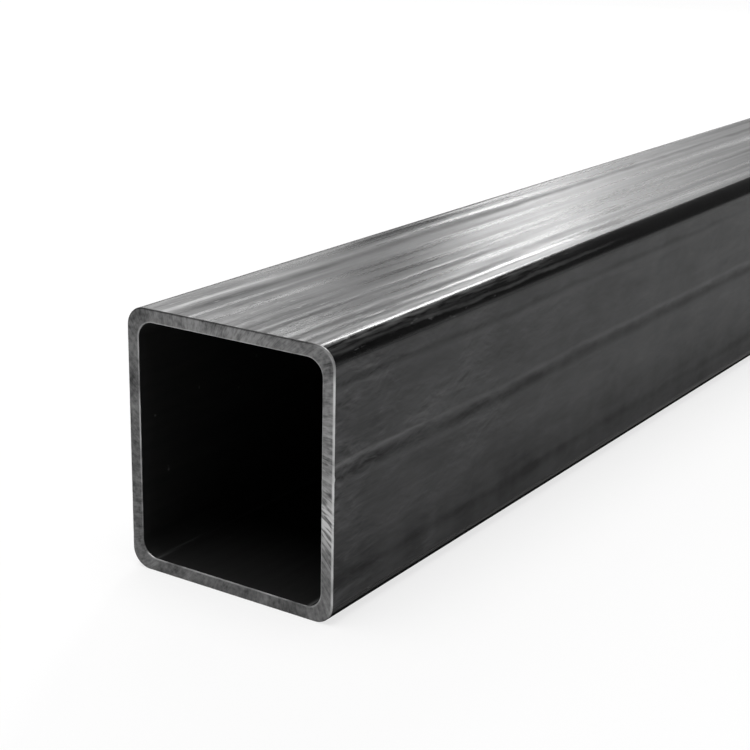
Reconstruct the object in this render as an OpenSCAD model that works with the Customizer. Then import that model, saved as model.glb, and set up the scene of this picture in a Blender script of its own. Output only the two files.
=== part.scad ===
// Rectangular steel hollow section: one sawn length, lying flat with its taller sides upright

/* [Section] */
// Height of the section as the tube lies
section_h = 100; // [60:1:200]
// Width of the section across the tube
section_w = 90; // [60:1:200]
// Thickness of the four walls
wall_t = 5; // [2:0.5:12]
// Radius of the outside corners
outer_r = 7.5; // [1:0.5:20]
// Radius of the corners inside the bore
inner_r = 6.5; // [1:0.5:15]

/* [Length] */
// Length between the two sawn ends
tube_l = 1000; // [100:10:6000]

/* [Sawn ends] */
// Edge break round the outside of each sawn end
outer_break = 0.5; // [0.1:0.1:0.8]
// Edge break round the bore at each sawn end
bore_break = 0.4; // [0.1:0.1:0.8]

/* [Hidden] */
$fn = 96;

// Dark mill scale on the drawn and rolled faces
scale_colour = [0.16, 0.16, 0.17];

// The bore leaves the same wall on all four sides
bore_w = section_w - 2 * wall_t;
bore_h = section_h - 2 * wall_t;
// Round a large outside corner the bore's corner keeps at least the wall's thickness
bore_r = max(inner_r, outer_r - wall_t);

// The edge wedges start this far clear of the faces that they cut
wedge_clear = 0.1;
// Which way a wedge leans over the end face from its outline
inwards = -1;
outwards = 1;

// Rectangle with true round corners, centred
module rounded_section(w, h, r) {
    square([w - 2 * r, h], center = true);
    square([w, h - 2 * r], center = true);
    for (x = [-1, 1], y = [-1, 1])
        translate([x * (w / 2 - r), y * (h / 2 - r)])
            circle(r);
}

// Section through the 45 degree wedge that breaks an edge: x is outwards from the outline, y into the tube
module wedge_profile(reach, lean) {
    far = reach + wedge_clear;
    polygon([
        [-lean * wedge_clear, -wedge_clear],
        [lean * far, -wedge_clear],
        [-lean * wedge_clear, far]
    ]);
}

// The wedge run right round a rounded outline: a straight bar on each side, then a quarter turn at its corner
module edge_wedge(w, h, r, reach, lean) {
    for (side = [0 : 3]) {
        across = side % 2 == 0 ? w : h;
        along = side % 2 == 0 ? h : w;
        rotate(90 * side) {
            translate([across / 2, 0])
                rotate([90, 0, 0])
                    linear_extrude(along - 2 * r, center = true)
                        wedge_profile(reach, lean);
            translate([across / 2 - r, along / 2 - r])
                rotate_extrude(angle = 90)
                    translate([r, 0])
                        wedge_profile(reach, lean);
        }
    }
}

// One wall section drawn out to length, with the edges of both sawn ends broken inside and out
module tube() {
    color(scale_colour)
        translate([0, 0, section_h / 2])
            rotate([90, 0, 0])
                difference() {
                    linear_extrude(tube_l, center = true)
                        difference() {
                            rounded_section(section_w, section_h, outer_r);
                            rounded_section(bore_w, bore_h, bore_r);
                        }
                    for (end = [0, 1])
                        mirror([0, 0, end])
                            translate([0, 0, -tube_l / 2]) {
                                edge_wedge(section_w, section_h, outer_r, outer_break, inwards);
                                edge_wedge(bore_w, bore_h, bore_r, bore_break, outwards);
                            }
                }
}

tube();
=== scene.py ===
import math
import bpy
from mathutils import Matrix, Vector


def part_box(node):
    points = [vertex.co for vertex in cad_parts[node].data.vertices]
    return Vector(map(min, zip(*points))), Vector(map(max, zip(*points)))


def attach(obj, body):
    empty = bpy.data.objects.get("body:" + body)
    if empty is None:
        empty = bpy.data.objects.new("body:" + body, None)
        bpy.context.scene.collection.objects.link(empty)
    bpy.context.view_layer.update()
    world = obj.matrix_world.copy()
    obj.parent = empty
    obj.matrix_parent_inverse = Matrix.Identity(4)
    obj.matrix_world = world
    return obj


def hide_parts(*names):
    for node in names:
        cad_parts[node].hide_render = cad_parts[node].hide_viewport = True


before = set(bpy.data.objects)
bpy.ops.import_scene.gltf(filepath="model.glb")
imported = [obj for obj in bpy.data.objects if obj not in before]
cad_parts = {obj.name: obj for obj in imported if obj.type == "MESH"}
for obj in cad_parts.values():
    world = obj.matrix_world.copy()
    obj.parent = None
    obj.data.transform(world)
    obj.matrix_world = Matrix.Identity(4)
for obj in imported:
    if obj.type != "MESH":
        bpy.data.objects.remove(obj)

scene = bpy.context.scene
scene.view_settings.view_transform = "Standard"
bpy.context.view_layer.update()  # the CAD model's own box, before anything is added
tubeLow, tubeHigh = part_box("tube")
tubeSize = tubeHigh - tubeLow
print("frame loaded, tube", [round(v, 4) for v in tubeSize])


# Small helpers that shader trees and geometry trees share
def addNode(tree, kind, **settings):
    made = tree.nodes.new(kind)
    for name, value in settings.items():
        setattr(made, name, value)
    return made


def feed(tree, socket, value):
    if isinstance(value, bpy.types.NodeSocket):
        tree.links.new(value, socket)
    else:
        socket.default_value = value


def maths(tree, operation, *values, clamp=False):
    made = addNode(tree, "ShaderNodeMath", operation=operation, use_clamp=clamp)
    for socket, value in zip(made.inputs, values):
        feed(tree, socket, value)
    return made.outputs[0]


def product(tree, first, *others):
    for value in others:
        first = maths(tree, "MULTIPLY", first, value)
    return first


def weighted(tree, *parts):
    total = 0.0
    for value, weight in parts:
        total = maths(tree, "MULTIPLY_ADD", value, weight, total)
    return total


def opposite(tree, share):
    return maths(tree, "SUBTRACT", 1.0, share)


def vectorMaths(tree, operation, *values, output=0):
    made = addNode(tree, "ShaderNodeVectorMath", operation=operation)
    for socket, value in zip(made.inputs, values):
        feed(tree, socket, value)
    return made.outputs[output]


def scaled(tree, vector, factor):
    made = addNode(tree, "ShaderNodeVectorMath", operation="SCALE")
    feed(tree, made.inputs[0], vector)
    feed(tree, made.inputs["Scale"], factor)
    return made.outputs[0]


def mapRange(tree, value, low, high, toLow, toHigh, kind="LINEAR"):
    made = addNode(tree, "ShaderNodeMapRange", interpolation_type=kind)
    for socket, entry in zip(made.inputs, (value, low, high, toLow, toHigh)):
        feed(tree, socket, entry)
    return made.outputs[0]


def fade(tree, value, full, none):
    # 1 up to the first value, falling smoothly to 0 at the second
    return mapRange(tree, value, full, none, 1.0, 0.0, "SMOOTHSTEP")


def ridge(tree, value, centre, reach):
    # 1 at the centre, falling smoothly to 0 at the reach on both sides
    off = maths(tree, "ABSOLUTE", maths(tree, "SUBTRACT", value, centre))
    return fade(tree, off, 0.0, reach)


def window(tree, value, start, end, blur):
    # 1 between start and end, fading out past both
    rise = mapRange(tree, value, start - blur, start + blur, 0.0, 1.0, "SMOOTHSTEP")
    return maths(tree, "MULTIPLY", rise, fade(tree, value, end - blur, end + blur))


def combine(tree, x, y, z):
    made = addNode(tree, "ShaderNodeCombineXYZ")
    for socket, value in zip(made.inputs, (x, y, z)):
        feed(tree, socket, value)
    return made.outputs[0]


def separate(tree, vector):
    made = addNode(tree, "ShaderNodeSeparateXYZ")
    feed(tree, made.inputs[0], vector)
    return made.outputs


def noise(tree, vector, scale, detail=2.0, roughness=0.5, dimensions="3D", w=0.0, distortion=0.0):
    made = addNode(tree, "ShaderNodeTexNoise", noise_dimensions=dimensions)
    if dimensions != "1D":
        feed(tree, made.inputs["Vector"], vector)
    if dimensions in ("1D", "4D"):
        feed(tree, made.inputs["W"], w)
    feed(tree, made.inputs["Scale"], scale)
    feed(tree, made.inputs["Detail"], detail)
    feed(tree, made.inputs["Roughness"], roughness)
    feed(tree, made.inputs["Distortion"], distortion)
    return made.outputs[0]


# Places round the section: metres from the middle of the underside, up the right side and over the top
sectionShape = {"wall": 0.005, "outerRadius": 0.0075, "boreRadius": 0.0065}
cornerLength = sectionShape["outerRadius"] * math.pi / 2
flatTop = tubeSize.x - 2 * sectionShape["outerRadius"]
flatSide = tubeSize.z - 2 * sectionShape["outerRadius"]
girthTotal = 2 * (flatTop + flatSide) + 4 * cornerLength
cornerCentres = [flatTop / 2 + cornerLength / 2]
for flat in (flatSide, flatTop, flatSide):
    cornerCentres.append(cornerCentres[-1] + cornerLength + flat)


def onSide(z):
    return flatTop / 2 + cornerLength + z - sectionShape["outerRadius"]


def onTop(x):
    return flatTop + flatSide + 2 * cornerLength - x


# What the three materials share
def newMaterial(name):
    material = bpy.data.materials.new(name)
    material.use_nodes = True
    tree = material.node_tree
    shader = tree.nodes["Principled BSDF"]
    place = addNode(tree, "ShaderNodeTexCoord").outputs["Object"]
    return material, tree, shader, place


def noted(tree, name):
    return addNode(tree, "ShaderNodeAttribute", attribute_type="GEOMETRY", attribute_name=name).outputs["Fac"]


def streaks(tree, place, across, stretch, detail, shift, distortion=0.0):
    mapping = addNode(tree, "ShaderNodeMapping")
    feed(tree, mapping.inputs["Vector"], place)
    mapping.inputs["Location"].default_value = (shift, shift * 0.7, shift * 0.3)
    mapping.inputs["Scale"].default_value = (across, across / stretch, across)
    pattern = noise(tree, mapping.outputs[0], 1.0, detail, 0.6, distortion=distortion)
    return maths(tree, "SUBTRACT", pattern, 0.5)


def paintedReliefShade(tree, place, gap, *settings):
    # Painted light and shade: light where the streaks rise downwards, dark where they fall, like relief lit
    # from above
    above = vectorMaths(tree, "ADD", place, (0.0, 0.0, gap))
    return maths(tree, "SUBTRACT", streaks(tree, place, *settings), streaks(tree, above, *settings))


def rampColour(tree, value, dark, light):
    made = addNode(tree, "ShaderNodeMix", data_type="RGBA")
    feed(tree, made.inputs[0], value)
    feed(tree, made.inputs[6], dark)
    feed(tree, made.inputs[7], light)
    return made.outputs[2]


def bump(tree, height):  # height in metres
    made = addNode(tree, "ShaderNodeBump")
    made.inputs["Strength"].default_value = 1.0
    made.inputs["Distance"].default_value = 1.0
    feed(tree, made.inputs["Height"], height)
    return made.outputs[0]


# Mill scale on the outside. The last five entries give each field's weight, those for depth in metres
millScaleLook = {
    "metallic": 0.12,
    "ior": 1.21,
    "dark": (0.0035, 0.0035, 0.0036, 1.0),
    "light": (0.1030, 0.1030, 0.1050, 1.0),
    "toneRange": 0.62,
    # Painted shade: the near-black colour that the corners are darkened towards
    "corner": (0.0, 0.0, 0.0, 1.0),
    "cornerShade": 0.88,
    "cornerEdge": (cornerLength * 0.36, cornerLength * 0.54),  # full and none, from the corner's middle
    # Painted contact shade: black on the lower corners, up to lowEdge above the floor
    "low": (0.002, 0.002, 0.002, 1.0),
    "lowEdge": (0.0040, 0.0054),  # full and none, above the floor
    # Bare steel colour, also used for the painted highlights
    "steelAndSheen": (0.42, 0.42, 0.42, 1.0),
    "scuffed": (0.13, 0.13, 0.13, 1.0),
    "scuffReach": 0.05,
    "scuffShare": 0.75,
    "handledReach": 0.10,
    "endReach": 0.22,
    # Painted highlight: where the light shoulder lies beside the right corner
    "cornerGlint": (onTop(0.0385), 0.0065),  # place round the section, half width
    "dullRange": (-0.45, 0.55),
    "topRoughness": (0.16, 0.48),
    "sideRoughness": (0.34, 0.50),
    "cornerRoughness": 0.2,
    "lowRoughness": 0.95,
    "cornerSmoothing": 0.7,
    "sideSmoothing": 0.7,
    "fleckDepth": 0.00004,
    "steelAndSheenShares": {"flecks": 0.32, "cornerGlint": 0.4, "nicks": 0.5, "wornAndSheen": 1.0},
    "tone": {"fine": 0.15, "middle": 0.35, "broad": 0.6, "cloud": 0.6, "lineTone": 1.0},
    "sideTone": {"lumps": 0.55, "patches": 0.6, "smears": 0.5, "wrinkleShading": 1.5, "nearEnds": 0.07},
    "dull": {"fine": 0.5, "middle": 1.0, "broad": 1.0, "cloud": 0.25, "handled": 0.1, "lineDull": 0.5},
    "depth": {"fineRelief": 0.00002, "middle": 0.00008, "broad": 0.00020, "lumps": 0.00003,
              "groove": 0.00020, "scratches": 0.00022},
}
# Streaks: how many to a metre across, stretch along the tube, detail, shift of the pattern, distortion
scaleStreaks = {
    "fine": (900.0, 40.0, 2.0, 1.7),
    "middle": (240.0, 75.0, 1.0, 5.1),
    "broad": (70.0, 26.0, 2.0, 9.3),
    "lumps": (150.0, 3.5, 3.0, 2.9, 0.6),
    "grain": (650.0, 11.0, 2.0, 7.7),
    "patches": (55.0, 2.6, 3.0, 4.4, 0.8),
    "smearGrain": (210.0, 4.0, 4.0, 6.1, 0.8),
    "fleckGrain": (520.0, 4.0, 4.0, 3.9),
    "nickGrain": (1000.0, 9.0, 3.0, 2.2, 0.4),
}
# Painted shading of wrinkles in the scale: weight, gap between the two readings, then as for streaks
wrinkleShadingForms = ((1.0, 0.0012, 130.0, 2.4, 3.0, 4.7, 0.5), (0.6, 0.0005, 330.0, 3.0, 2.0, 1.3, 0.5))
# Marks: the streaks they are cut from, and the levels where they start and are full
scaleMarks = {
    "smears": ("smearGrain", 0.04, 0.22),
    "flecks": ("fleckGrain", 0.10, 0.26),
    "cornerGlint": ("grain", -0.12, 0.15),
    "nicks": ("nickGrain", 0.08, 0.24),
}
# How the roll lines and rubbed lines run along the tube
lineCourse = {
    "driftsPerMetre": 9.0,
    "drift": 0.004,
    "lumpDrift": 0.0022,
    "patchesPerMetre": 26.0,
    "patchRange": (0.3, 0.62),
    "faintest": 0.5,
    "rollBlur": 0.05,  # at the start and end of a line
    "wornAndSheenBlur": 0.04,
}
# Roll lines: place round the section, half width, groove, tone, dullness, start and end along the tube
rollLines = (
    (onTop(-0.0262), 0.0044, -0.8, 0.0, 0.0, -0.6, 0.0),
    (onTop(-0.0225), 0.0040, 0.0, -0.6, 0.8, -0.6, 0.6),
    (onTop(-0.0335), 0.0050, 0.0, -0.2, 0.25, -0.6, 0.2),
    (onTop(-0.0165), 0.0022, 0.0, 0.0, -0.5, -0.6, -0.40),
    (onTop(-0.0100), 0.0050, 0.0, 0.0, -0.4, -0.34, 0.6),
    (onTop(0.0000), 0.0050, 0.0, 0.0, 0.6, -0.36, 0.6),
    (onTop(0.0072), 0.0030, 0.0, -0.5, 0.5, -0.6, 0.1),
    (onTop(0.0128), 0.0020, -0.4, 0.0, -0.6, -0.6, -0.34),
    (onTop(0.0152), 0.0020, 0.0, -0.6, 0.7, -0.6, -0.34),
    (onTop(0.0200), 0.0040, 0.0, 0.0, -0.6, -0.6, -0.2),
    (onTop(0.0278), 0.0026, -0.5, -0.6, 0.9, -0.6, -0.36),
    (onTop(0.0245), 0.0034, 0.0, 0.0, 0.8, -0.36, 0.6),
    (onTop(0.0312), 0.0020, 0.3, 0.0, -0.6, -0.6, -0.15),
    (onTop(0.0335), 0.0014, 0.0, -0.5, 0.6, -0.6, -0.3),
    (onTop(-0.0120), 0.0014, 0.0, -0.35, 0.2, -0.6, -0.42),
    (onTop(0.0020), 0.0022, 0.0, -0.35, 0.2, -0.6, -0.40),
    (onSide(0.0868), 0.0020, 0.0, -0.32, 0.0, -0.6, -0.15),
    (onSide(0.0838), 0.0024, 0.0, 0.20, 0.0, -0.6, -0.20),
    (onSide(0.0582), 0.0018, 0.0, 0.40, 0.0, -0.6, -0.10),
    (onSide(0.0542), 0.0036, 0.0, -0.60, 0.0, -0.6, 0.3),
    (onSide(0.0500), 0.0022, 0.0, 0.22, 0.0, -0.6, -0.38),
    # This wide entry is no roll line: it makes the right side darker towards the bottom
    (onSide(0.0150), 0.0300, 0.0, -0.38, 0.0, -0.6, 0.6),
    (onSide(0.0160), 0.0036, 0.0, -0.24, 0.0, -0.6, 0.6),
)
# Lines rubbed bright by the rolls near the front, and a painted highlight: place round the section, half
# width, share, start and end
wornAndSheenLines = (
    (onTop(-0.0370), 0.0022, 0.35, -0.6, -0.36),
    (onTop(-0.0282), 0.0020, 0.85, -0.6, -0.44),
    (onTop(-0.0272), 0.0030, 0.28, -0.6, -0.32),
    (onTop(-0.0165), 0.0016, 0.25, -0.6, -0.44),
    (onTop(0.0128), 0.0013, 0.30, -0.6, -0.38),
    (onTop(0.0243), 0.0020, 0.48, -0.6, -0.40),
    (onTop(0.0312), 0.0015, 0.52, -0.6, -0.36),
    (onTop(0.0362), 0.0020, 0.42, -0.6, -0.38),
    (cornerCentres[1] - cornerLength * 0.08, 0.0012, 0.16, -0.6, -0.3),
    (onSide(0.0586), 0.0011, 0.15, -0.6, -0.44),
    # Painted highlight: a thin light line along the lower corner, above its painted black
    (onSide(0.0064), 0.0010, 0.07, -0.6, 0.6),
)


def mixed(tree, fields, weights):
    return weighted(tree, *((fields[name], weight) for name, weight in weights.items()))


def towardsEnds(tree, fields, reach, **ragged):
    # 1 at the sawn ends, 0 at the reach from them, with a ragged border
    return fade(tree, mixed(tree, fields, {"fromEnd": 1.0, **ragged}), 0.0, reach)


def addZones(tree, place, fields):
    # Places in metres along, up and round the tube, then its zones, each from 0 to 1
    look = millScaleLook
    fields["along"], fields["upright"] = separate(tree, place)[1:3]
    fields["girth"] = noted(tree, "girth")
    fields["corner"] = 0.0
    for centre in cornerCentres:
        off = maths(tree, "ABSOLUTE", maths(tree, "SUBTRACT", fields["girth"], centre))
        fields["corner"] = maths(tree, "ADD", fields["corner"], fade(tree, off, *look["cornerEdge"]))
    fields["top"] = window(tree, fields["girth"], onTop(flatTop / 2), onTop(-flatTop / 2), cornerLength / 4)
    fields["side"] = opposite(tree, fields["top"])
    fields["low"] = fade(tree, fields["upright"], *look["lowEdge"])
    fields["fromEnd"] = maths(tree, "SUBTRACT", tubeSize.y / 2, maths(tree, "ABSOLUTE", fields["along"]))
    fields["handled"] = towardsEnds(tree, fields, look["handledReach"], cloud=0.35)
    fields["nearEnds"] = towardsEnds(tree, fields, look["endReach"], broad=0.2)


def addLines(tree, fields):
    # The lines wander a little and come and go along the tube
    course = lineCourse
    along = fields["along"]
    drift = noise(tree, None, course["driftsPerMetre"], 2.0, 0.5, "1D", along)
    path = weighted(tree, (maths(tree, "SUBTRACT", drift, 0.5), course["drift"]),
                    (fields["lumps"], course["lumpDrift"]), (fields["girth"], 1.0))
    patchy = noise(tree, None, course["patchesPerMetre"], 3.0, 0.6, "1D", along)
    patchy = mapRange(tree, patchy, *course["patchRange"], course["faintest"], 1.0)
    fields.update(groove=0.0, lineTone=0.0, lineDull=0.0)
    for centre, reach, depth, tone, dull, start, end in rollLines:
        line = product(tree, ridge(tree, path, centre, reach), patchy,
                       window(tree, along, start, end, course["rollBlur"]))
        for name, share in (("groove", depth), ("lineTone", tone), ("lineDull", dull)):
            fields[name] = maths(tree, "MULTIPLY_ADD", line, share, fields[name])

    wornAndSheen = 0.0
    for centre, reach, share, start, end in wornAndSheenLines:
        line = product(tree, ridge(tree, path, centre, reach),
                       window(tree, along, start, end, course["wornAndSheenBlur"]))
        wornAndSheen = maths(tree, "MULTIPLY_ADD", line, share, wornAndSheen)
    broken = mapRange(tree, maths(tree, "ADD", fields["fine"], fields["grain"]), -0.3, 0.2, 0.3, 1.0)
    fields["wornAndSheen"] = maths(tree, "MULTIPLY", wornAndSheen, broken)


def addWear(tree, place, fields):
    # Handling marks towards both sawn ends; the side gets painted shading of wrinkles, most of all near them
    look = millScaleLook
    top, grain, handled, nearEnds = (fields[name] for name in ("top", "grain", "handled", "nearEnds"))
    for name, (pattern, start, full) in scaleMarks.items():
        fields[name] = mapRange(tree, fields[pattern], start, full, 0.0, 1.0)
    fields["scratches"] = product(tree, grain, handled)
    fields["smears"] = product(tree, fields["smears"], handled)
    # painted light and shade of wrinkles, in the side's colour only
    paintedWrinkles = weighted(tree, *((paintedReliefShade(tree, place, *form), weight) for weight, *form in wrinkleShadingForms))
    fields["wrinkleShading"] = product(tree, paintedWrinkles, mapRange(tree, fields["patches"], -0.12, 0.2, 0.2, 1.7),
                               maths(tree, "MULTIPLY_ADD", nearEnds, 0.85, 0.15),
                               mapRange(tree, fields["upright"], 0.015, 0.045, 0.3, 1.0))
    scuffs = towardsEnds(tree, fields, look["scuffReach"], broad=0.10, grain=0.08)
    specks = mapRange(tree, grain, -0.2, 0.2, 0.0, 1.5)
    fields["scuffs"] = product(tree, scuffs, look["scuffShare"], specks, top)

    # Bare steel: flecks on the corners, nicks and rubbed lines; a light shoulder beside the right corner is a
    # painted highlight
    beside = ridge(tree, fields["girth"], *look["cornerGlint"])
    fields["flecks"] = product(tree, fields["flecks"], fields["corner"], nearEnds)
    fields["cornerGlint"] = product(tree, fields["cornerGlint"], beside, nearEnds)
    fields["nicks"] = product(tree, fields["nicks"], handled, top)
    fields["steelAndSheen"] = 0.0
    for name, share in look["steelAndSheenShares"].items():
        fields["steelAndSheen"] = maths(tree, "MAXIMUM", fields["steelAndSheen"], product(tree, fields[name], share))


def scaleColour(tree, fields):
    # Painted shade: the corners are darkened towards black, and the lower ones are black right down to the
    # floor
    look = millScaleLook
    sideTone = maths(tree, "MULTIPLY", mixed(tree, fields, look["sideTone"]), fields["side"])
    tone = maths(tree, "ADD", mixed(tree, fields, look["tone"]), sideTone)
    spread = mapRange(tree, tone, -look["toneRange"], look["toneRange"], 0.0, 1.0)
    colour = rampColour(tree, spread, look["dark"], look["light"])
    # painted shade along all four corners
    cornerShade = maths(tree, "MULTIPLY", fields["corner"], look["cornerShade"])
    colour = rampColour(tree, cornerShade, colour, look["corner"])
    colour = rampColour(tree, fields["scuffs"], colour, look["scuffed"])
    colour = rampColour(tree, fields["steelAndSheen"], colour, look["steelAndSheen"])
    # Painted contact shade: the lower corners go black down to the floor
    return rampColour(tree, fields["low"], colour, look["low"])


def scaleRoughness(tree, fields):
    look = millScaleLook
    dull = mapRange(tree, mixed(tree, fields, look["dull"]), *look["dullRange"], 0.0, 1.0)
    rough = weighted(tree, (mapRange(tree, dull, 0.0, 1.0, *look["topRoughness"]), fields["top"]),
                     (mapRange(tree, dull, 0.0, 1.0, *look["sideRoughness"]), fields["side"]))
    for zone in ("corner", "low"):
        kept = opposite(tree, fields[zone])
        rough = weighted(tree, (rough, kept), (fields[zone], look[zone + "Roughness"]))
    return rough


def scaleHeight(tree, fields):
    # The finest bump is weaker on the sides, and the corners are smooth apart from their flecks
    look = millScaleLook
    offSides = opposite(tree, product(tree, fields["side"], look["sideSmoothing"]))
    offCorners = opposite(tree, product(tree, fields["corner"], look["cornerSmoothing"]))
    fields["fineRelief"] = product(tree, fields["fine"], offSides)
    height = product(tree, mixed(tree, fields, look["depth"]), offCorners)
    return maths(tree, "MULTIPLY_ADD", fields["flecks"], look["fleckDepth"], height)


def makeMillScale():
    material, tree, shader, place = newMaterial("millScale")
    fields = {name: streaks(tree, place, *form) for name, form in scaleStreaks.items()}
    fields["cloud"] = maths(tree, "SUBTRACT", noise(tree, place, 22.0, 3.0, 0.6), 0.5)
    addZones(tree, place, fields)
    addLines(tree, fields)
    addWear(tree, place, fields)
    feed(tree, shader.inputs["Base Color"], scaleColour(tree, fields))
    feed(tree, shader.inputs["Roughness"], scaleRoughness(tree, fields))
    feed(tree, shader.inputs["Normal"], bump(tree, scaleHeight(tree, fields)))
    shader.inputs["Metallic"].default_value = millScaleLook["metallic"]
    shader.inputs["IOR"].default_value = millScaleLook["ior"]
    return material


# The bore: dark scale, a scratch along each lower corner and a few flecks towards both ends
boreLook = {
    "dark": (0.006, 0.006, 0.006, 1.0),
    "light": (0.016, 0.016, 0.016, 1.0),
    "worn": (0.14, 0.14, 0.14, 1.0),
    "wornFrom": 0.3,  # share of the length, from the middle
    "scratches": (cornerCentres[0] - 0.005, cornerCentres[3] + 0.005),
    "scratchReach": 0.0016,
    "roughness": (0.6, 0.45),
    "ior": 1.3,
}


def makeBoreScale():
    look = boreLook
    material, tree, shader, place = newMaterial("boreScale")
    tone = maths(tree, "ADD", streaks(tree, place, 120.0, 12.0, 3.0, 3.3), 0.5)
    plain = rampColour(tree, tone, look["dark"], look["light"])
    girth = noted(tree, "girth")
    along = maths(tree, "ABSOLUTE", separate(tree, place)[1])
    nearEnd = mapRange(tree, along, tubeSize.y * look["wornFrom"], tubeSize.y / 2, 0.0, 1.0)
    scratches = (ridge(tree, girth, centre, look["scratchReach"]) for centre in look["scratches"])
    scratch = maths(tree, "MAXIMUM", *scratches)
    broken = mapRange(tree, streaks(tree, place, 420.0, 30.0, 2.0, 8.8), -0.05, 0.2, 0.0, 1.0)
    flecks = mapRange(tree, noise(tree, place, 170.0, 2.0), 0.745, 0.80, 0.0, 0.8)
    worn = maths(tree, "MULTIPLY", maths(tree, "MAXIMUM", product(tree, scratch, broken), flecks), nearEnd)
    feed(tree, shader.inputs["Base Color"], rampColour(tree, worn, plain, look["worn"]))
    feed(tree, shader.inputs["Roughness"], mapRange(tree, tone, 0.3, 0.7, *look["roughness"]))
    shader.inputs["IOR"].default_value = look["ior"]
    return material


# Bare steel on both sawn ends
sawnLook = {
    "metallic": 0.85,
    "roughness": (0.52, 0.36),
    "dark": (0.055, 0.055, 0.056, 1.0),
    "light": (0.28, 0.28, 0.28, 1.0),
    # painted shade on the outer edge
    "shadowed": (0.03, 0.03, 0.03, 1.0),
    "shine": (0.80, 0.80, 0.80, 1.0),
    "shineShare": 0.75,
    # bare steel round the bore, and a painted highlight on the outer edge
    "rim": (0.70, 0.70, 0.70, 1.0),
    "rimWidth": 0.0006,
    "rimBreaks": (0.35, 0.62),
    "highlightSpan": (onSide(0.006), onTop(0.040), 0.006),  # start and end round the section, blur
    "brightSpan": (onSide(0.028), onSide(0.046), 0.007),
    "cutRange": (0.44, 0.6),
    "lean": -0.40,
    "strokesPerMetre": 420.0,
    "strokeStretch": 4.0,
    "strokeDepth": 0.00006,
    "clearLeast": 0.4,
    "clear": {"rightWall": 0.6, "topWall": 0.5},  # the strokes show best on these walls
    "tone": {"strokes": 0.5, "thin": 0.4, "cloud": 0.40, "mottle": 0.40,
             "rightWall": 0.03, "topWall": 0.08, "leftWall": -0.08},
    "toneRange": (0.23, 0.57),
    "dullRange": (0.20, 0.65),
}
# The walls of a sawn end: middle round the section, reach to both sides
sawnWalls = {
    "rightWall": (onSide(tubeSize.z / 2), tubeSize.z * 0.65),
    "topWall": (onTop(0.0), tubeSize.x * 0.55),
    "leftWall": (girthTotal - onSide(tubeSize.z / 2), tubeSize.z * 0.65),
}


def strokeRing(tree, girth, inward):
    # Strokes cross the wall and lean; the walk round the section is bent to a circle, so it has no seam
    circle = girthTotal / math.tau
    turn = maths(tree, "DIVIDE", weighted(tree, (girth, 1.0), (inward, sawnLook["lean"])), circle)
    return combine(tree, maths(tree, "MULTIPLY", maths(tree, "COSINE", turn), circle),
                   maths(tree, "MULTIPLY", maths(tree, "SINE", turn), circle),
                   maths(tree, "DIVIDE", inward, sawnLook["strokeStretch"]))


def makeSawnSteel():
    look = sawnLook
    material, tree, shader, place = newMaterial("sawnSteel")
    girth = noted(tree, "girth")
    inward = maths(tree, "MULTIPLY", noted(tree, "acrossWall"), sectionShape["wall"])
    ring = strokeRing(tree, girth, inward)
    strokes = noise(tree, ring, look["strokesPerMetre"], 2.0, 0.55)
    thin = noise(tree, ring, look["strokesPerMetre"] * 4, 2.0, 0.6)
    cloud = noise(tree, place, 90.0, 3.0)
    mottle = noise(tree, place, 520.0, 3.0)
    fields = {name: ridge(tree, girth, *wall) for name, wall in sawnWalls.items()}
    rightWall = fields["rightWall"]
    clear = maths(tree, "ADD", mixed(tree, fields, look["clear"]), look["clearLeast"])
    fields.update(cloud=cloud, mottle=mottle)
    for name, pattern in (("strokes", strokes), ("thin", thin)):
        fields[name] = product(tree, maths(tree, "SUBTRACT", pattern, 0.5), clear)
    tone = mixed(tree, fields, look["tone"])
    colour = rampColour(tree, mapRange(tree, tone, *look["toneRange"], 0.0, 1.0), look["dark"], look["light"])

    # The right wall was cut in clear strokes, brightest a little below its middle
    bright = maths(tree, "MAXIMUM", window(tree, girth, *look["brightSpan"]), product(tree, rightWall, 0.3))
    cuts = noise(tree, ring, look["strokesPerMetre"] * 1.5, 2.0, 0.5)
    cuts = mapRange(tree, cuts, *look["cutRange"], 0.0, 1.0, "SMOOTHSTEP")
    colour = rampColour(tree, product(tree, cuts, bright, look["shineShare"]), colour, look["shine"])

    # Painted shade: the outer edge is dark except on the right wall
    outerEdge = fade(tree, inward, 0.0, look["rimWidth"])
    paintedEdgeShade = maths(tree, "MULTIPLY", outerEdge, maths(tree, "SUBTRACT", 0.8, rightWall), clamp=True)
    colour = rampColour(tree, paintedEdgeShade, colour, look["shadowed"])
    # Light rims where the edges are broken: bare steel all round the bore, and outside a painted highlight
    # only up the right wall
    boreRim = fade(tree, maths(tree, "SUBTRACT", sectionShape["wall"], inward), 0.0, look["rimWidth"])
    boreRim = product(tree, boreRim, mapRange(tree, cloud, *look["rimBreaks"], 0.1, 0.9))
    outerHighlight = product(tree, fade(tree, inward, look["rimWidth"] * 0.5, look["rimWidth"] * 1.5),
                       mapRange(tree, cloud, *look["rimBreaks"], 0.45, 1.0),
                       window(tree, girth, *look["highlightSpan"]))
    rim = maths(tree, "MAXIMUM", boreRim, outerHighlight)
    feed(tree, shader.inputs["Base Color"], rampColour(tree, rim, colour, look["rim"]))
    feed(tree, shader.inputs["Roughness"], mapRange(tree, tone, *look["dullRange"], *look["roughness"]))
    wrinkleShading = product(tree, weighted(tree, (strokes, 1.0), (mottle, 0.3)), look["strokeDepth"])
    feed(tree, shader.inputs["Normal"], bump(tree, wrinkleShading))
    shader.inputs["Metallic"].default_value = look["metallic"]
    return material


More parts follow.
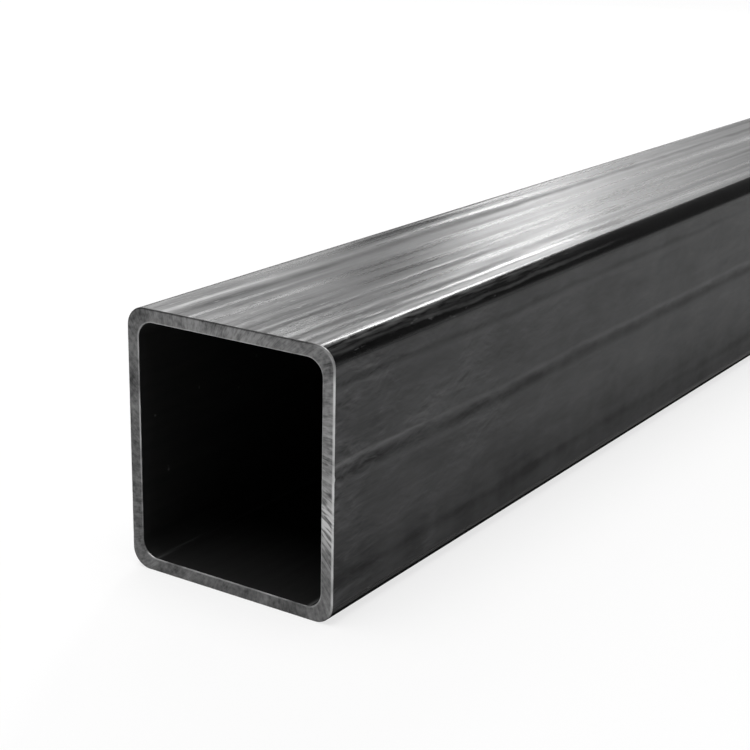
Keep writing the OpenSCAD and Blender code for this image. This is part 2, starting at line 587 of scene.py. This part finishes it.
# The tube: one rounded section drawn out along Y, with both sawn ends and the bore in one closed skin
tubeShape = {
    "Width": tubeSize.x,
    "Height": tubeSize.z,
    "Length": tubeSize.y,
    "Wall": sectionShape["wall"],
    "Outer Radius": sectionShape["outerRadius"],
    "Bore Radius": sectionShape["boreRadius"],
    "Outer Break": 0.0005,
    "Bore Break": 0.0004,
    "Break Wear": 0.35,
    "Wear Marks": 260.0,  # to a metre, as for the streaks and saw marks
    "Streaks": 420.0,
    "Streak Stretch": 60.0,
    "Streak Depth": 0.00002,
    "Saw Depth": 0.00004,
    "Saw Marks": 800.0,
    "Saw Centre": (0.312, 0.0, 0.217),
    "Seed": 7.0,
    "Seam": 1.0 - (flatTop / 2 + cornerLength + flatSide) / girthTotal,
    "Nick Place": onSide(0.054),
    "Nick Size": 0.0016,
    "Nick Depth": 0.9,  # share of the outer break
    "Steps Around": 1100,
    "Rows Outside": 40,
    "Rows Across End": 16,
    "Rows In Bore": 10,
}
# Where each zone lies on the flat layout: left edge, width, and whether it runs along the tube
sheetLayout = ((0.01, 0.72, True), (0.75, 0.12, True), (0.89, 0.04, False), (0.95, 0.04, False))
tiny = 0.0001  # tells a share of 0 or 1 from one between them


def tubeInputs(tree):
    kinds = {float: "NodeSocketFloat", int: "NodeSocketInt", tuple: "NodeSocketVector"}
    for name, value in tubeShape.items():
        tree.interface.new_socket(name, in_out="INPUT", socket_type=kinds[type(value)])
    for name in ("Outside Finish", "Bore Finish", "Sawn Finish"):
        tree.interface.new_socket(name, in_out="INPUT", socket_type="NodeSocketMaterial")
    tree.interface.new_socket("Tube", in_out="OUTPUT", socket_type="NodeSocketGeometry")


def makeGrid(tree, columns, rows):
    # A flat grid, and for each point its share of the way across it and up it
    grid = addNode(tree, "GeometryNodeMeshGrid")
    grid.inputs["Size X"].default_value = 1.0
    grid.inputs["Size Y"].default_value = 1.0
    feed(tree, grid.inputs["Vertices X"], maths(tree, "ADD", columns, 1.0))
    feed(tree, grid.inputs["Vertices Y"], maths(tree, "ADD", rows, 1.0))
    station = addNode(tree, "GeometryNodeCaptureAttribute")
    station.capture_items.new("VECTOR", "Station")
    feed(tree, station.inputs[0], grid.outputs["Mesh"])
    feed(tree, station.inputs[1], addNode(tree, "GeometryNodeInputPosition").outputs[0])
    place = separate(tree, station.outputs[1])
    return station.outputs[0], maths(tree, "ADD", place[0], 0.5), maths(tree, "ADD", place[1], 0.5)


def sectionLoop(tree, width, height, radius):
    outline = addNode(tree, "GeometryNodeCurvePrimitiveQuadrilateral", mode="RECTANGLE")
    feed(tree, outline.inputs["Width"], width)
    feed(tree, outline.inputs["Height"], height)
    rounded = addNode(tree, "GeometryNodeFilletCurve", mode="POLY")
    feed(tree, rounded.inputs["Curve"], outline.outputs[0])
    feed(tree, rounded.inputs["Radius"], radius)
    rounded.inputs["Count"].default_value = 24
    return rounded.outputs[0]


def alongLoop(tree, loop, share):
    sampled = addNode(tree, "GeometryNodeSampleCurve", mode="FACTOR", use_all_curves=True)
    feed(tree, sampled.inputs["Curves"], loop)
    feed(tree, sampled.inputs["Factor"], share)
    return sampled.outputs["Position"]


def outwardFrom(tree, given, point):
    # Straight away from the nearest place of the rectangle between the corners' centres
    radius = given["Outer Radius"]
    core = combine(tree, maths(tree, "SUBTRACT", maths(tree, "MULTIPLY", given["Width"], 0.5), radius),
                   maths(tree, "SUBTRACT", maths(tree, "MULTIPLY", given["Height"], 0.5), radius), 0.0)
    nearest = vectorMaths(tree, "MAXIMUM", point, scaled(tree, core, -1.0))
    nearest = vectorMaths(tree, "MINIMUM", nearest, core)
    return vectorMaths(tree, "NORMALIZE", vectorMaths(tree, "SUBTRACT", point, nearest))


def roundedEdge(tree, reach, depth):
    # How far a rounded edge falls back at a depth under the face beside it
    short = maths(tree, "MAXIMUM", maths(tree, "SUBTRACT", reach, depth), 0.0)
    rest = maths(tree, "SUBTRACT", product(tree, reach, reach), product(tree, short, short))
    return maths(tree, "SUBTRACT", reach, maths(tree, "SQRT", maths(tree, "MAXIMUM", rest, 0.0)))


def onFace(tree, value):
    made = addNode(tree, "GeometryNodeFieldOnDomain", domain="FACE", data_type="FLOAT")
    feed(tree, made.inputs[0], value)
    return made.outputs[0]


def note(tree, geometry, name, kind, domain, value):
    made = addNode(tree, "GeometryNodeStoreNamedAttribute", data_type=kind, domain=domain)
    feed(tree, made.inputs["Geometry"], geometry)
    feed(tree, made.inputs["Name"], name)
    feed(tree, made.inputs["Value"], value)
    return made.outputs[0]


def flatLayout(tree, zones, around, along, depth):
    # One flat layout for the whole skin: outside, bore, back end, front end
    lengthwise = maths(tree, "MULTIPLY_ADD", along, 0.5, 0.5)
    column, line = 0.0, 0.0
    for (left, wide, runsAlong), zone in zip(sheetLayout, zones):
        chosen = onFace(tree, zone)
        across, down = (around, lengthwise) if runsAlong else (depth, around)
        across = maths(tree, "MULTIPLY_ADD", across, -wide, left + wide)
        column = maths(tree, "MULTIPLY_ADD", across, chosen, column)
        line = maths(tree, "MULTIPLY_ADD", maths(tree, "MULTIPLY_ADD", down, 0.98, 0.01), chosen, line)
    return combine(tree, column, line, 0.0)


def closeAndPaint(tree, given, skin, boreFaces, sawnFaces):
    closed = addNode(tree, "GeometryNodeMergeByDistance")
    feed(tree, closed.inputs["Geometry"], skin)
    closed.inputs["Distance"].default_value = 0.00001
    smooth = addNode(tree, "GeometryNodeSetShadeSmooth")
    feed(tree, smooth.inputs["Geometry"], closed.outputs[0])
    whole = addNode(tree, "GeometryNodeRealizeInstances")
    feed(tree, whole.inputs[0], smooth.outputs[0])
    skin = whole.outputs[0]
    for name, faces in (("Outside Finish", True), ("Bore Finish", boreFaces), ("Sawn Finish", sawnFaces)):
        painted = addNode(tree, "GeometryNodeSetMaterial")
        feed(tree, painted.inputs["Geometry"], skin)
        feed(tree, painted.inputs["Selection"], faces)
        feed(tree, painted.inputs["Material"], given[name])
        skin = painted.outputs[0]
    return skin


def buildTubeTree():
    tree = bpy.data.node_groups.new("drawnTube", "GeometryNodeTree")
    tubeInputs(tree)
    given = addNode(tree, "NodeGroupInput").outputs

    def calc(operation, *values, clamp=False):
        return maths(tree, operation, *values, clamp=clamp)

    def eased(share):  # closer rows near both edges of an end
        return calc("MULTIPLY_ADD", calc("COSINE", calc("MULTIPLY", share, math.pi)), -0.5, 0.5)

    # Rows run down the outside, over the back end, back through the bore and over the front end
    rows = weighted(tree, (given["Rows Outside"], 1.0), (given["Rows In Bore"], 1.0),
                    (given["Rows Across End"], 2.0))
    skin, around, upward = makeGrid(tree, given["Steps Around"], rows)
    row = calc("MULTIPLY", upward, rows)
    shares = []
    for name in ("Rows Outside", "Rows Across End", "Rows In Bore", "Rows Across End"):
        shares.append(calc("DIVIDE", row, given[name], clamp=True))
        row = calc("SUBTRACT", row, given[name])
    outside, overBack, inBore, overFront = shares
    depth = calc("SUBTRACT", eased(overBack), eased(overFront))  # 0 outside, 1 in the bore
    run = calc("SUBTRACT", calc("MULTIPLY_ADD", outside, 2.0, -1.0), calc("MULTIPLY", inBore, 2.0))
    once = calc("SINE", calc("MULTIPLY", run, math.pi / 2))
    twice = calc("SINE", calc("MULTIPLY", once, math.pi / 2))
    along = weighted(tree, (twice, 0.75), (once, 0.25))  # closer rows near the ends

    # The two loops of the section
    thickness = calc("MULTIPLY", given["Wall"], 2.0)
    outerLoop = sectionLoop(tree, given["Width"], given["Height"], given["Outer Radius"])
    boreLoop = sectionLoop(tree, calc("SUBTRACT", given["Width"], thickness),
                           calc("SUBTRACT", given["Height"], thickness), given["Bore Radius"])
    walk = calc("FRACT", calc("ADD", around, given["Seam"]))  # the seam lies under the tube
    outerPoint = alongLoop(tree, outerLoop, walk)
    borePoint = alongLoop(tree, boreLoop, walk)

    # Roll streaks: long shallow furrows, only on the outside
    flat = separate(tree, outerPoint)
    lengthwise = product(tree, along, given["Length"], 0.5)
    streakPlace = combine(tree, flat[0], calc("DIVIDE", lengthwise, given["Streak Stretch"]), flat[1])
    furrow = noise(tree, streakPlace, given["Streaks"], 2.0, 0.55, "4D", given["Seed"])
    furrow = product(tree, furrow, given["Streak Depth"], opposite(tree, depth), -1.0)
    sunk = scaled(tree, outwardFrom(tree, given, outerPoint), furrow)
    blend = addNode(tree, "ShaderNodeMix", data_type="VECTOR")
    feed(tree, blend.inputs[0], depth)
    feed(tree, blend.inputs[4], vectorMaths(tree, "ADD", outerPoint, sunk))
    feed(tree, blend.inputs[5], borePoint)
    section = separate(tree, blend.outputs[1])
    upright = calc("MULTIPLY_ADD", given["Height"], 0.5, section[1])

    # Sawn ends: worn edge breaks, one nick and shallow curved saw marks
    wear = noise(tree, blend.outputs[1], given["Wear Marks"], 3.0, 0.6, "4D", given["Seed"])
    wear = calc("MULTIPLY_ADD", calc("SUBTRACT", wear, 0.5), calc("MULTIPLY", given["Break Wear"], 2.0), 1.0)
    under = calc("MULTIPLY", depth, given["Wall"])
    over = calc("SUBTRACT", given["Wall"], under)
    girth = calc("MULTIPLY", around, girthTotal)
    nick = ridge(tree, girth, given["Nick Place"], given["Nick Size"])
    nicked = calc("MULTIPLY_ADD", nick, given["Nick Depth"], wear)
    outerFall = roundedEdge(tree, calc("MULTIPLY", given["Outer Break"], nicked), under)
    boreFall = roundedEdge(tree, calc("MULTIPLY", given["Bore Break"], wear), over)
    fromCentre = vectorMaths(tree, "SUBTRACT", combine(tree, section[0], 0.0, upright), given["Saw Centre"])
    sawDistance = vectorMaths(tree, "LENGTH", fromCentre, output=1)
    sawn = noise(tree, None, given["Saw Marks"], 2.0, 0.6, "1D", sawDistance)
    endOnly = calc("MULTIPLY", calc("MINIMUM", depth, opposite(tree, depth)), 8.0, clamp=True)
    sawn = product(tree, sawn, given["Saw Depth"], endOnly)
    fall = calc("ADD", calc("ADD", outerFall, boreFall), sawn)
    reach = calc("SUBTRACT", calc("MULTIPLY", given["Length"], 0.5), fall)
    shaped = addNode(tree, "GeometryNodeSetPosition")
    feed(tree, shaped.inputs["Geometry"], skin)
    feed(tree, shaped.inputs["Position"], combine(tree, section[0], calc("MULTIPLY", along, reach), upright))

    # Which faces belong to the bore and to the sawn ends, noted before the seams are closed
    turned = addNode(tree, "GeometryNodeFlipFaces")
    feed(tree, turned.inputs[0], shaped.outputs[0])
    zones = addNode(tree, "GeometryNodeCaptureAttribute", domain="FACE")
    zones.capture_items.new("FLOAT", "Bore")
    zones.capture_items.new("FLOAT", "Sawn")
    feed(tree, zones.inputs[0], turned.outputs[0])
    inside = calc("GREATER_THAN", depth, 1.0 - tiny)
    feed(tree, zones.inputs[1], inside)
    feed(tree, zones.inputs[2], calc("SUBTRACT", calc("GREATER_THAN", depth, tiny), inside))

    # Notes for the materials and the flat layout
    backEnd = product(tree, calc("GREATER_THAN", overBack, tiny), calc("LESS_THAN", overBack, 1.0 - tiny))
    sheet = (calc("LESS_THAN", depth, tiny), inside, backEnd, calc("GREATER_THAN", overFront, tiny))
    skin = note(tree, zones.outputs[0], "girth", "FLOAT", "CORNER", girth)
    skin = note(tree, skin, "acrossWall", "FLOAT", "POINT", depth)
    skin = note(tree, skin, "OFBake", "FLOAT2", "CORNER", flatLayout(tree, sheet, around, along, depth))
    skin = closeAndPaint(tree, given, skin, zones.outputs[1], zones.outputs[2])
    feed(tree, addNode(tree, "NodeGroupOutput").inputs[0], skin)
    return tree


def makeTube(outsideFinish, boreFinish, sawnFinish):
    tree = buildTubeTree()
    former = bpy.data.objects.new("tubeFormer", bpy.data.meshes.new("tubeFormer"))
    scene.collection.objects.link(former)
    modifier = former.modifiers.new("drawnTube", "NODES")
    modifier.node_group = tree
    finishes = {"Outside Finish": outsideFinish, "Bore Finish": boreFinish, "Sawn Finish": sawnFinish}
    settings = {**tubeShape, **finishes}
    for item in tree.interface.items_tree:
        if item.in_out == "INPUT":
            modifier[item.identifier] = settings[item.name]
    depsgraph = bpy.context.evaluated_depsgraph_get()
    mesh = bpy.data.meshes.new_from_object(former.evaluated_get(depsgraph), depsgraph=depsgraph)
    mesh.name = "rectangular_tube"
    mesh.materials.pop(index=0)  # the empty slot that the grid came with
    tube = bpy.data.objects.new("rectangular_tube", mesh)
    scene.collection.objects.link(tube)
    bpy.data.objects.remove(former)
    return tube


millScale = makeMillScale()
boreScale = makeBoreScale()
sawnSteel = makeSawnSteel()
print("materials ready")
tube = makeTube(millScale, boreScale, sawnSteel)
triangles = sum(len(face.vertices) - 2 for face in tube.data.polygons)
print("tube skin", len(tube.data.vertices), "points", triangles, "triangles",
      list(tube.data.materials.keys()))
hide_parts("tube")
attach(tube, "root")


# Studio: pale floor, soft light from above, soft panels behind on the left
studio = {
    "floorSize": 60.0,
    "floorGap": 0.00002,  # under the tube
    "floorColour": (0.84, 0.84, 0.84, 1.0),
    "floorSeen": (0.26, 0.26, 0.26, 1.0),
    "floorLift": 0.74,
    "overhead": 2.45,
    "overheadAngle": 50.0,
    "overheadTilt": (6.0, -3.0),  # towards the front, towards the right
    "horizon": 1.0,
    "horizonHeight": 0.06,
    "dome": 0.12,
}
# Panels: radiance, distance, then the azimuths and the elevations of their edges, seen from the tube
panels = {
    "leftPanel": (4.0, 2.6, (-60.0, -36.0), (14.0, 30.0)),
    "brightPanel": (12.2, 2.4, (-30.2, -24.0), (14.0, 22.0)),
    "backPanel": (1.75, 2.5, (-23.5, -16.5), (7.0, 14.0)),
    "lowPanel": (0.5, 2.5, (-22.0, -8.0), (1.0, 7.0)),
    "cornerBox": (14.0, 2.3, (-29.5, -21.0), (22.0, 38.0)),
}


def paleFloor():
    # Seen directly the floor is lifted nearly to white, and for all other light it is plain and pale
    material = bpy.data.materials.new("paleFloor")
    material.use_nodes = True
    tree = material.node_tree
    tree.nodes.remove(tree.nodes["Principled BSDF"])
    plain = addNode(tree, "ShaderNodeBsdfDiffuse")
    plain.inputs["Color"].default_value = studio["floorColour"]
    matt = addNode(tree, "ShaderNodeBsdfDiffuse")
    matt.inputs["Color"].default_value = studio["floorSeen"]
    lift = addNode(tree, "ShaderNodeEmission")
    lift.inputs["Strength"].default_value = studio["floorLift"]
    both = addNode(tree, "ShaderNodeAddShader")
    feed(tree, both.inputs[0], matt.outputs[0])
    feed(tree, both.inputs[1], lift.outputs[0])
    whole = addNode(tree, "ShaderNodeMixShader")
    feed(tree, whole.inputs[0], addNode(tree, "ShaderNodeLightPath").outputs["Is Camera Ray"])
    feed(tree, whole.inputs[1], plain.outputs[0])
    feed(tree, whole.inputs[2], both.outputs[0])
    feed(tree, tree.nodes["Material Output"].inputs["Surface"], whole.outputs[0])
    return material


def makeFloor():
    half = studio["floorSize"] / 2
    mesh = bpy.data.meshes.new("floor")
    corners = [(-half, -half, 0.0), (half, -half, 0.0), (half, half, 0.0), (-half, half, 0.0)]
    mesh.from_pydata(corners, [], [(0, 1, 2, 3)])
    mesh.materials.append(paleFloor())
    floor = bpy.data.objects.new("floor", mesh)
    floor.location.z = tubeLow.z - studio["floorGap"]
    scene.collection.objects.link(floor)


def makeWorld():
    world = bpy.data.worlds.new("studio")
    world.use_nodes = True
    scene.world = world
    tree = world.node_tree
    height = separate(tree, addNode(tree, "ShaderNodeTexCoord").outputs["Generated"])[2]
    level = mapRange(tree, height, 0.0, studio["horizonHeight"], studio["horizon"], studio["dome"],
                     "SMOOTHSTEP")
    level = maths(tree, "MAXIMUM", level, addNode(tree, "ShaderNodeLightPath").outputs["Is Camera Ray"])
    feed(tree, tree.nodes["Background"].inputs["Strength"], level)
    tree.nodes["Background"].inputs["Color"].default_value = (1.0, 1.0, 1.0, 1.0)


def makePanel(name, radiance, distance, azimuths, elevations):
    low, high = (math.tan(math.radians(e)) * distance for e in elevations)
    half = math.radians(azimuths[1] - azimuths[0]) / 2
    middle = math.radians(azimuths[0] + azimuths[1]) / 2
    light = bpy.data.lights.new(name, "AREA")
    light.shape = "RECTANGLE"
    light.size = 2 * distance * math.tan(half)
    light.size_y = high - low
    light.energy = radiance * math.pi * light.size * light.size_y
    lamp = bpy.data.objects.new(name, light)
    away = Vector((math.sin(middle), math.cos(middle), 0.0))
    aim = Vector((0.0, tubeLow.y + tubeSize.y / 6, tubeHigh.z))
    lamp.location = aim + away * distance + Vector((0.0, 0.0, (low + high) / 2))
    lamp.rotation_euler = away.to_track_quat("Z", "Y").to_euler()
    lamp.visible_camera = False
    scene.collection.objects.link(lamp)


def makeLights():
    overhead = bpy.data.lights.new("overheadSoft", "SUN")
    overhead.energy = studio["overhead"]
    overhead.angle = math.radians(studio["overheadAngle"])
    lamp = bpy.data.objects.new("overheadSoft", overhead)
    front, right = (math.tan(math.radians(tilt)) for tilt in studio["overheadTilt"])
    lamp.rotation_euler = Vector((right, -front, 1.0)).to_track_quat("Z", "Y").to_euler()
    scene.collection.objects.link(lamp)
    for name, settings in panels.items():
        makePanel(name, *settings)


makeFloor()
makeWorld()
makeLights()
print("studio ready")

# Camera at the photograph's place
cameraView = {
    "lens": 78.032,  # mm on a 36 mm sensor
    "sensor": 36.0,
    "place": (0.33341, -0.91622, 0.25065),
    "azimuth": 33.238,
    "elevation": 17.490,
    "roll": 1.133,
}


def makeCamera():
    lens = bpy.data.cameras.new("photoCamera")
    lens.lens = cameraView["lens"]
    lens.sensor_width = cameraView["sensor"]
    camera = bpy.data.objects.new("photoCamera", lens)
    azimuth, elevation, roll = (math.radians(cameraView[k]) for k in ("azimuth", "elevation", "roll"))
    back = Vector((math.sin(azimuth) * math.cos(elevation), -math.cos(azimuth) * math.cos(elevation),
                   math.sin(elevation)))
    right = Vector((math.cos(azimuth), math.sin(azimuth), 0.0))
    up = back.cross(right)
    level = Matrix((right, up, back)).transposed()
    turn = level @ Matrix.Rotation(roll, 3, "Z")
    camera.matrix_world = Matrix.Translation(cameraView["place"]) @ turn.to_4x4()
    scene.collection.objects.link(camera)
    scene.camera = camera


makeCamera()
print("camera ready")
